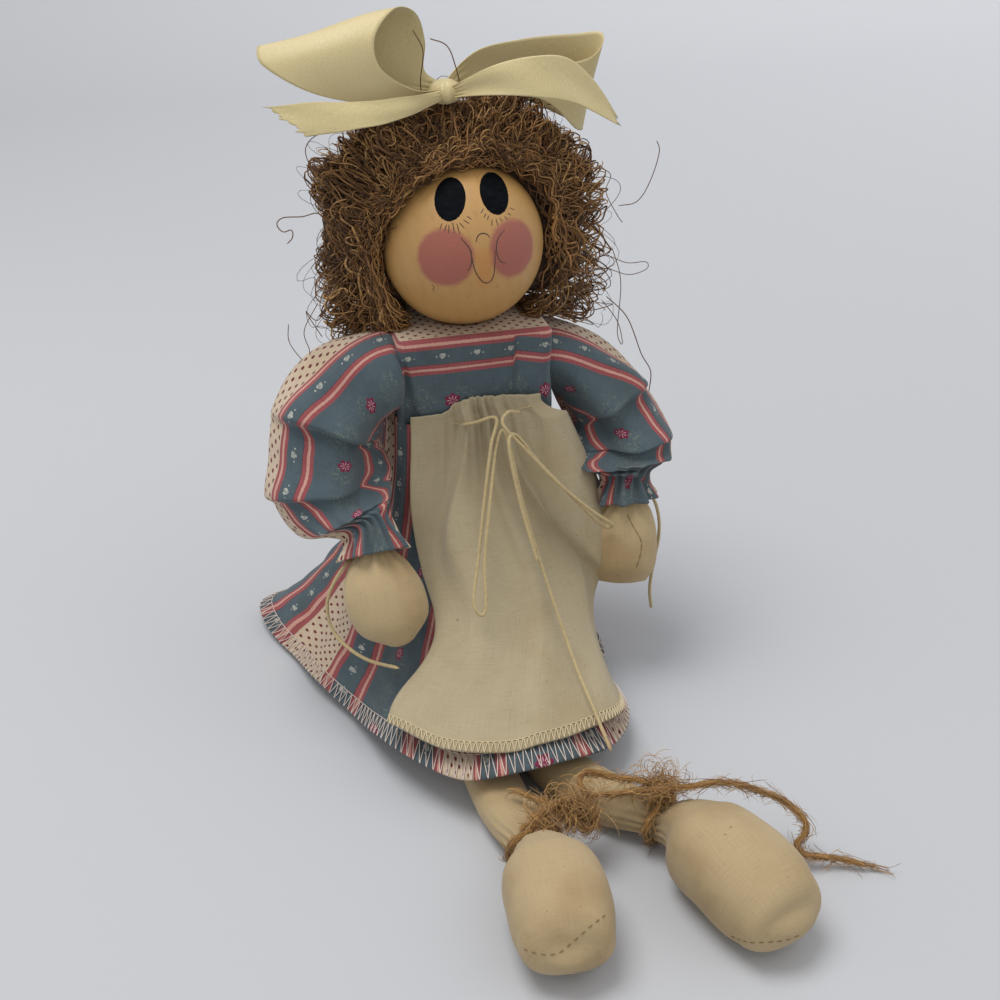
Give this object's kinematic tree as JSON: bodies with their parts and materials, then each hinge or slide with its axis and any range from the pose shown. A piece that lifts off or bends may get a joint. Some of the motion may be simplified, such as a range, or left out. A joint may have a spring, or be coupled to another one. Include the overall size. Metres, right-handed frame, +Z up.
{
  "type": "shelf sitter doll",
  "caption": "Folk-craft shelf sitter doll: wooden ball head on a block body, stuffed muslin arms and legs, calico dress, muslin apron, curly vine hair with a ribbon bow.",
  "frame": {"origin": "middle of the block's base, on the surface that the doll stands on", "axes": "+Z up the block to the head, -Y the way the doll faces, +X the doll's own left"},
  "size_m": [0.1718, 0.244, 0.2402],
  "materials": {
    "block_wood": "plain sawn softwood, hidden by the dress",
    "dowel_wood": "plain turned hardwood",
    "ball_wood": "turned birch, warm oiled finish with a painted face",
    "dress_calico": "printed cotton calico, blue-grey with rose stripes",
    "apron_muslin": "beige unbleached muslin",
    "stuffed_muslin": "tea-dyed muslin over soft stuffing",
    "curly_vine": "brown curly dried vine, matt",
    "ribbon": "ivory satin ribbon",
    "cotton_string": "cream cotton string",
    "jute": "golden-brown jute twine"
  },
  "bodies": {
    "root": {"body_block": "block_wood", "neck_dowel": "dowel_wood", "head_ball": "ball_wood", "dress_bodice": "dress_calico", "dress_skirt": "dress_calico", "apron": "apron_muslin", "right_arm": "stuffed_muslin", "left_arm": "stuffed_muslin", "right_leg": "stuffed_muslin", "left_leg": "stuffed_muslin", "hair_wig": "curly_vine", "hair_bow": "ribbon", "apron_string_right": "cotton_string", "apron_string_left": "cotton_string", "right_wrist_string": "cotton_string", "left_wrist_string": "cotton_string", "right_ankle_tie": "jute", "left_ankle_tie": "jute"}
  },
  "joints": []
}
